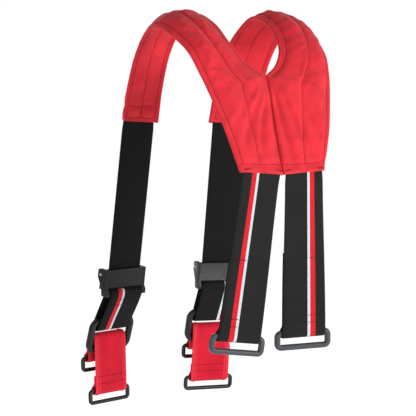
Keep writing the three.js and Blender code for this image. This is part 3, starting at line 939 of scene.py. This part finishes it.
def fold_cloth(piece, side):
    normals = [vertex.normal.copy() for vertex in piece.data.vertices]
    wide = LAST_COLUMN + 1
    top_size = wide * (PAD_ROWS + 1)
    for index, (vertex, normal) in enumerate(zip(piece.data.vertices, normals)):
        row, column = divmod(index % top_size, wide)
        along = PAD_SHARES[row]
        fade = min(min(LAST_COLUMN - column, column, row / 2, (PAD_ROWS - row) / 2) / 3, 1)
        if along > NECK_SHARE:
            fade = min(min(LAST_COLUMN - column, column + 1, (PAD_ROWS - row) / 2) / 3, 1)
        fold = pad_folds(vertex.co, along, column / LAST_COLUMN, side)
        if index >= top_size:
            fold = LINING_SHARE * abs(fold)
        from_seam = min(abs(column - seam) for seam in SEAM_COLUMNS[1:])
        fade *= min(0.2 + from_seam / 4, 1)
        vertex.co += normal * fold * fade
    piece.data.update()


def pad_surface(piece):
    mesh = piece.data
    return BVHTree.FromPolygons([v.co for v in mesh.vertices], [tuple(p.vertices) for p in mesh.polygons])


def on_surface(tree, point):
    place_there, normal, _, _ = tree.find_nearest(point)
    return place_there, normal


def pad_seams(side_name, tree, sizes):
    """Every line of stitching on a pad's two cloths."""
    side = SIDES[side_name]

    def spot(along, column, upper=True):
        across = pad_across_at(along, column, sizes.edge_seam)
        height = pad_height(along, across) if upper else PAD_FOOT
        return on_surface(tree, pad_point(side, along, across, height))

    steps = 3 * PAD_ROWS
    shares = [FIRST_STITCH + (LAST_STITCH - FIRST_STITCH) * i / steps for i in range(steps + 1)]
    neck = [along for along in shares if along < NECK_SHARE]
    runs = []
    for upper in (True, False):
        for seam, reach in zip(SEAM_COLUMNS, (neck, shares, shares)):
            runs.append([spot(along, seam, upper) for along in reach])
        for row in SEAM_ROWS:
            first = EDGE_COLUMNS if row in FRONT_SEAM_ROWS else 0.8
            columns = [first + (LAST_COLUMN - 2 * first) * k / 40 for k in range(41)]
            runs.append([spot(PAD_SHARES[row], column, upper) for column in columns])
    return runs


def bartack(centre, along, normal, length=0.0062, width=0.0017):
    """A dense little bar of stitches."""
    aside = normal.cross(along).normalized()
    count = 9
    return [
        [
            (centre + along * length * (k / (count - 1) - 0.5) - aside * width / 2, normal),
            (centre + along * length * (k / (count - 1) - 0.5) + aside * width / 2, normal),
        ]
        for k in range(count)
    ]


def rolled_edge(name, side, start, end, across, radius, material):
    """A roll of cloth sewn along a pad's inner edge."""
    steps, around = 90, 10
    shares = [start + (end - start) * i / steps for i in range(steps + 1)]
    points = [pad_point(side, along, across, 0.0002) for along in shares]
    vertices, faces = [], []
    for i, point in enumerate(points):
        tangent = (points[min(i + 1, steps)] - points[max(i - 1, 0)]).normalized()
        inward = (pad_point(side, shares[i], 0.1, 0) - point).normalized()
        up = tangent.cross(inward).normalized()
        inward = up.cross(tangent).normalized()
        size = radius * (1 + 0.06 * noise.noise(point * 150))
        for k in range(around):
            angle = 2 * math.pi * k / around
            vertices.append(point + (inward * math.cos(angle) * 1.1 + up * math.sin(angle)) * size)
    for i in range(steps):
        for k in range(around):
            n = (k + 1) % around
            faces.append((i * around + k, i * around + n, (i + 1) * around + n, (i + 1) * around + k))
    faces += [tuple(range(around))[::-1], tuple(steps * around + k for k in range(around))]
    piece = link_mesh(name, vertices, faces, [material])
    smooth(piece, 60)
    return piece


class SUSPENDERS_OT_pads(bpy.types.Operator):
    """Sew and fill the two shoulder pads"""

    bl_idname = "suspenders.pads"
    bl_label = "Pads"

    def execute(self, context):
        sizes = context.scene.suspenders_sizes
        cloth, red_thread = bpy.data.materials["pad_cloth"], bpy.data.materials["red_thread"]
        for side_name, side in SIDES.items():
            pad = pad_mesh(side_name, sizes, cloth)
            swell(pad, PAD_PRESSURE, MOST_SWELL)
            fold_cloth(pad, side)
            apply_modifier(pad, "SUBSURF", levels=1, render_levels=1)
            smooth(pad, 60)
            nodes = [f"{side_name}_pad_{part}" for part in ("shell", "foam", "lining")]
            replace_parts(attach(pad, "root"), *nodes)

            tree = pad_surface(pad)
            runs = pad_seams(side_name, tree, sizes)
            stitches = thread(
                f"{side_name}_pad_stitching", runs, red_thread, sizes.stitch_length, sizes.stitch_gap
            )
            tacks = []
            for along, across, height in PAD_BARTACKS:
                centre, normal = on_surface(tree, pad_point(side, along, across, height))
                downward = pad_point(side, min(along + 0.02, 1), across, 0.005)
                upward = pad_point(side, along - 0.02, across, 0.005)
                direction = (pad_point(side, along, 0.9, 0) - pad_point(side, along, 0.1, 0)).normalized()
                if along < 0.5:
                    direction = (downward - upward).normalized()
                tacks += bartack(centre, direction, normal)
            bars = thread(f"{side_name}_bartacks", tacks, red_thread, 0.0016, 0.0004, 0.00036, 0.0)
            stitches = join([stitches, bars])
            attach(stitches, "root")
            binding = rolled_edge(
                f"{side_name}_neck_binding", side, 0, NECK_SHARE, 0.012, sizes.binding, cloth
            )
            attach(binding, "root")
        seam_across = -SEAM_GAP / PANEL_WIDTH
        seam = rolled_edge("centre_seam", 1, NECK_SHARE, 1, seam_across, sizes.binding / 2, cloth)
        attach(seam, "root")
        return {"FINISHED"}


# Straps


BLACK_STITCH = (0.0021, 0.0009, 0.0004)  # length, gap, thread radius
TAIL_SEAM = 0.012
FRONT_SEAM_DROPS = (0.0085, 0.0125)
FOLD_SEAMS = (0.0075, 0.001)


def nearest_station(stations, z):
    return min(range(len(stations)), key=lambda i: abs(stations[i][0].z - z))


class SUSPENDERS_OT_back_straps(bpy.types.Operator):
    """Make the two elastic back straps"""

    bl_idname = "suspenders.back_straps"
    bl_label = "Back straps"

    def execute(self, context):
        width = context.scene.suspenders_sizes.webbing_width
        webbing, black = bpy.data.materials["elastic_webbing"], bpy.data.materials["black_thread"]
        run_length = len(line((0, -STRAP_MOUTH), (0, back_bar_z())))
        for side_name, side in SIDES.items():
            matrix = hanger(side, 1, BACK["lean"], BACK_HANG[side_name][0], 0)
            turned = stations_of(back_path(), matrix, lambda z: back_turn(side_name, z))
            stations = sewn_start(side, 1) + turned
            piece = strap(f"{side_name}_back_strap_cloth", stations, side, width, WEB_THICKNESS, [webbing])
            down_run = turned[:run_length]
            foot = down_run[-1][0].z
            top, _, low = levels = [
                nearest_station(down_run, foot + height)
                for height in (BACK["tail"] - TAIL_SEAM, *(STRAP_PINCH + seam for seam in FOLD_SEAMS))
            ]
            rows = [cross_run(down_run[level], width, WEB_THICKNESS, 1) for level in reversed(levels)]
            for share in (0.06, 0.94):
                rows.append(strap_run(down_run, share, width, WEB_THICKNESS, 1, top, low))
            stitches = thread(f"{side_name}_back_stitching", rows, black, *BLACK_STITCH)
            piece = join([piece, stitches])
            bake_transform(piece)
            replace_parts(piece, f"{side_name}_back_webbing")
        return {"FINISHED"}


class SUSPENDERS_OT_front_straps(bpy.types.Operator):
    """Make the two front straps, which run through the adjusters and round the rings"""

    bl_idname = "suspenders.front_straps"
    bl_label = "Front straps"

    def execute(self, context):
        width = context.scene.suspenders_sizes.webbing_width
        webbing, black = bpy.data.materials["smooth_webbing"], bpy.data.materials["black_thread"]
        for side_name, side in SIDES.items():
            matrix = front_hanger(side)
            upper = sewn_start(side, 0) + stations_of(front_upper_path(), matrix)
            lower = stations_of(front_lower_path(), matrix)
            # The striped face looks forward above the adjuster, and back on the returned run.
            name = f"{side_name}_front_strap"
            sizes = (side, width, WEB_THICKNESS, [webbing])
            piece = strap(f"{name}_upper", turned_over(upper), *sizes)
            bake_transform(piece)
            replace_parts(piece, f"{side_name}_front_webbing")
            loop = strap(f"{name}_loop", turned_over(lower), *sizes)
            bar = matrix @ Vector((0, SEWN_BAR_Y, -FRONT["drop"] - ADJUSTER["drop"]))
            forward = matrix.col[1].to_3d()
            returned = [s for s in lower[len(lower) // 2:] if s[2] @ forward > 0.3]
            rows = []
            for drop in FRONT_SEAM_DROPS:
                nearest = min(returned, key=lambda s: abs((bar - s[0]).length - drop))
                rows.append(cross_run(nearest, width, WEB_THICKNESS, -1))
            stitches = thread(f"{side_name}_front_stitching", rows, black, *BLACK_STITCH)
            loop = join([loop, stitches])
            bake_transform(loop)
            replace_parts(loop, f"{side_name}_front_webbing")
        return {"FINISHED"}


def turned_over(stations):
    """The same strap with its striped face on the other side."""
    return [(point, across, -normal) for point, across, normal in stations]


# Hardware and tabs


def rounded_outline(width, height, radius, steps=8):
    """A rounded rectangle about the origin, in the (x, y) plane."""
    points = []
    for quarter, (sx, sy) in enumerate(((1, 1), (-1, 1), (-1, -1), (1, -1))):
        cx, cy = sx * (width / 2 - radius), sy * (height / 2 - radius)
        for i in range(steps + 1):
            angle = math.pi / 2 * (quarter + i / steps)
            points.append((cx + radius * math.cos(angle), cy + radius * math.sin(angle), 0))
    return points


def loop_piece(name, shape, matrix, material):
    """A flat moulded loop, its upper bar's axis at the frame's origin."""
    inner_width, inner_height = shape["width"] - 2 * shape["end"], shape["height"] - 2 * shape["bar"]
    outer = rounded_outline(shape["width"], shape["height"], shape["corner"])
    inner = rounded_outline(inner_width, inner_height, shape["inner_corner"])
    count = len(outer)
    faces = [(i, (i + 1) % count, count + (i + 1) % count, count + i) for i in range(count)]
    piece = link_mesh(name, outer + inner, faces, [material])
    select_only(piece)
    bpy.ops.object.mode_set(mode="EDIT")
    bpy.ops.mesh.select_all(action="SELECT")
    bpy.ops.mesh.extrude_region_move(TRANSFORM_OT_translate={"value": (0, 0, shape["depth"])})
    bpy.ops.mesh.select_all(action="SELECT")
    bpy.ops.mesh.normals_make_consistent(inside=False)
    bpy.ops.object.mode_set(mode="OBJECT")
    apply_modifier(
        piece, "BEVEL", width=shape["soft"] * min(shape["bar"], shape["depth"]), segments=4,
        limit_method="ANGLE", angle_limit=math.radians(50),
    )
    to_bar = Vector((0, (shape["bar"] - shape["height"]) / 2, -shape["depth"] / 2))
    place(piece, matrix @ turn(90, "X") @ Matrix.Translation(to_bar))
    outward(piece.data)
    smooth(piece, 35)
    return piece


class SUSPENDERS_OT_loops(bpy.types.Operator):
    """Mould the rings and the rectangular loops"""

    bl_idname = "suspenders.loops"
    bl_label = "Rings and loops"

    def execute(self, context):
        ring, front, back = (
            bpy.data.materials[name] for name in ("black_plastic", "buckle_plastic", "grey_plastic")
        )
        for side_name, side in SIDES.items():
            tab = tab_frame(side_name)
            long_seat = tab @ Matrix.Translation((0, TAB_WRAP - TAB_LEG, -TAB["long"]))
            short_seat = tab @ Matrix.Translation((0, TAB_WRAP + TAB_LEG, -TAB["short"]))
            strap_foot = hanger(side, 1, BACK["lean"], BACK_HANG[side_name][0], 0)
            back_seat = strap_foot @ back_turn(side_name, back_bar_z())
            back_seat = back_seat @ Matrix.Translation((0, back_wrap(), back_bar_z()))
            pieces = (
                # name, body, node, shape, seat, material, slot
                ("ring", "ring_body", "ring", RING, ring_frame(side), ring, "ring_plastic"),
                ("long_loop", "long_buckle", "tab_long_loop", FRONT_LOOP, long_seat, front,
                 "front_loop_plastic"),
                ("short_loop", "short_buckle", "tab_short_loop", FRONT_LOOP, short_seat, front,
                 "front_loop_plastic"),
                ("back_loop", "back_buckle", "back_loop", BACK_LOOP, back_seat, back,
                 "back_loop_plastic"),
            )
            for name, body, node, shape, seat, material, slot in pieces:
                piece = loop_piece(f"{side_name}_{name}_moulding", shape, seat, material)
                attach(piece, f"{side_name}_{body}")
                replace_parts(piece, f"{side_name}_{node}")
        return {"FINISHED"}


TAB_INSET = 0.0006
TAB_SEAMS = (-0.034, -0.041)
TAB_HEM = 0.16


class SUSPENDERS_OT_tabs(bpy.types.Operator):
    """Fold and sew the two red tabs"""

    bl_idname = "suspenders.tabs"
    bl_label = "Tabs"

    def execute(self, context):
        sizes = context.scene.suspenders_sizes
        cloth, red_thread = bpy.data.materials["tab_cloth"], bpy.data.materials["red_thread"]
        width, thick = sizes.webbing_width - TAB_INSET, TAB["thick"]
        path = tab_path()
        long_leg = [i for i, (y, _) in enumerate(path) if y < -TAB_LEG + 0.0005]
        for side_name, side in SIDES.items():
            stations = stations_of(path, tab_frame(side_name))
            tab = strap(f"{side_name}_tab_cloth", stations, side, width, thick, [cloth], TAB_HEM)
            rows = [strap_run(stations, share, width, thick * 1.12, 1) for share in (0.1, 0.9)]
            for seam in TAB_SEAMS:
                index = min(long_leg, key=lambda i: abs(path[i][1] - seam))
                rows.append(cross_run(stations[index], width, thick * 1.05, 1))
            stitches = thread(
                f"{side_name}_tab_stitching", rows, red_thread, sizes.stitch_length, sizes.stitch_gap
            )
            tab = join([tab, stitches])
            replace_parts(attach(tab, f"{side_name}_tab_body"), f"{side_name}_tab")
        return {"FINISHED"}


# part, body, material, slot
ADJUSTER_PARTS = (
    ("frame", "adjuster", "black_plastic", "adjuster_plastic"),
    ("lever", "lever", "black_plastic", "adjuster_plastic"),
    ("pin", "adjuster", "pin_steel", "pin_steel"),
)
SOFT_EDGE = 0.0004


class SUSPENDERS_OT_adjusters(bpy.types.Operator):
    """Mould the cam adjusters' frames, levers and pins with soft edges"""

    bl_idname = "suspenders.adjusters"
    bl_label = "Adjusters"

    def execute(self, context):
        for side_name in SIDES:
            for part, body, material, slot in ADJUSTER_PARTS:
                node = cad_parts[f"{side_name}_adjuster_{part}"]
                name = f"{side_name}_adjuster_{part}_moulding"
                piece = bpy.data.objects.new(name, node.data.copy())
                piece.data.name = name
                bpy.context.scene.collection.objects.link(piece)
                piece.data.materials.clear()
                piece.data.materials.append(bpy.data.materials[material])
                apply_modifier(piece, "WELD", merge_threshold=0.00001)
                apply_modifier(
                    piece, "BEVEL", width=SOFT_EDGE, segments=3, limit_method="ANGLE",
                    angle_limit=math.radians(35),
                )
                outward(piece.data)
                smooth(piece, 35)
                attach(piece, f"{side_name}_{body}")
                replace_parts(piece, f"{side_name}_adjuster_{part}")
        return {"FINISHED"}


# Stage

LIGHTS = (
    # name, place, size, power
    ("key_light", (0.9, -2.0, -0.1), 0.9, 46),
    ("fill_light", (-1.9, -0.9, 0.2), 1.4, 16),
    ("front_light", (0.2, 1.9, 0.3), 1.5, 16),
)
LIGHT_AIM = (0, 0, -0.2)
FLOOR_DROP = 0.30
FLOOR_GLOW = 0.72
WORLD_LIGHT = 0.36


def aimed(location, aim):
    direction = Vector(aim) - Vector(location)
    return Matrix.Translation(location) @ direction.to_track_quat("-Z", "Y").to_matrix().to_4x4()


class SUSPENDERS_OT_stage(bpy.types.Operator):
    """Set up the floor, the lights and the camera"""

    bl_idname = "suspenders.stage"
    bl_label = "Stage"

    def execute(self, context):
        scene = context.scene
        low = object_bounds()[0][2]
        bpy.ops.object.select_all(action="DESELECT")
        bpy.ops.mesh.primitive_plane_add(size=14, location=(0, 0, low - FLOOR_DROP))
        floor = context.object
        floor.name = "floor"
        material, _, shader = surface("pale_floor", 0.9, 0.1)
        shader.inputs["Base Color"].default_value = (0.9, 0.9, 0.9, 1)
        shader.inputs["Emission Color"].default_value = (1, 1, 1, 1)
        shader.inputs["Emission Strength"].default_value = FLOOR_GLOW
        floor.data.materials.append(material)
        floor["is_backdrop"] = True
        world = bpy.data.worlds.new("studio")
        world.use_nodes = True
        tree = world.node_tree
        seen = tree.nodes.new("ShaderNodeLightPath").outputs["Is Camera Ray"]
        strength = math_node(tree, "MULTIPLY_ADD", seen, 1 - WORLD_LIGHT, WORLD_LIGHT)
        tree.links.new(strength, tree.nodes["Background"].inputs["Strength"])
        tree.nodes["Background"].inputs["Color"].default_value = (1, 1, 1, 1)
        scene.world = world
        for name, location, size, power in LIGHTS:
            lamp = bpy.data.lights.new(name, "AREA")
            lamp.energy = power
            lamp.size = size
            holder = bpy.data.objects.new(name, lamp)
            holder.matrix_world = aimed(location, LIGHT_AIM)
            scene.collection.objects.link(holder)
        camera = bpy.data.objects.new("camera", bpy.data.cameras.new("camera"))
        camera.data.lens = CAMERA_LENS
        camera.data.clip_start = 0.05
        camera.matrix_world = aimed(CAMERA_PLACE, CAMERA_AIM) @ turn(CAMERA_ROLL, "Z")
        scene.collection.objects.link(camera)
        scene.camera = camera
        scene.view_settings.view_transform = "Standard"
        return {"FINISHED"}


# The add-on

OPERATORS = (
    SUSPENDERS_OT_finishes,
    SUSPENDERS_OT_stage,
    SUSPENDERS_OT_pads,
    SUSPENDERS_OT_back_straps,
    SUSPENDERS_OT_front_straps,
    SUSPENDERS_OT_loops,
    SUSPENDERS_OT_tabs,
    SUSPENDERS_OT_adjusters,
)


class SUSPENDERS_PT_panel(bpy.types.Panel):
    """Lists the steps that build the suspenders"""

    bl_idname = "SUSPENDERS_PT_panel"
    bl_label = "Suspenders"
    bl_space_type = "VIEW_3D"
    bl_region_type = "UI"
    bl_category = "Suspenders"

    def draw(self, context):
        for operator in OPERATORS:
            self.layout.operator(operator.bl_idname)
        for settings in (context.scene.suspenders_sizes, context.scene.suspenders_colours):
            for name in settings.__annotations__:
                self.layout.prop(settings, name)


CLASSES = (SuspendersSizes, SuspendersColours, *OPERATORS, SUSPENDERS_PT_panel)


def register():
    for part in CLASSES:
        bpy.utils.register_class(part)
    bpy.types.Scene.suspenders_sizes = bpy.props.PointerProperty(type=SuspendersSizes)
    bpy.types.Scene.suspenders_colours = bpy.props.PointerProperty(type=SuspendersColours)


def unregister():
    del bpy.types.Scene.suspenders_colours
    del bpy.types.Scene.suspenders_sizes
    for part in reversed(CLASSES):
        bpy.utils.unregister_class(part)


def main():
    register()
    for operator in OPERATORS:
        group, name = operator.bl_idname.split(".")
        getattr(getattr(bpy.ops, group), name)()


if __name__ == "__main__":
    main()
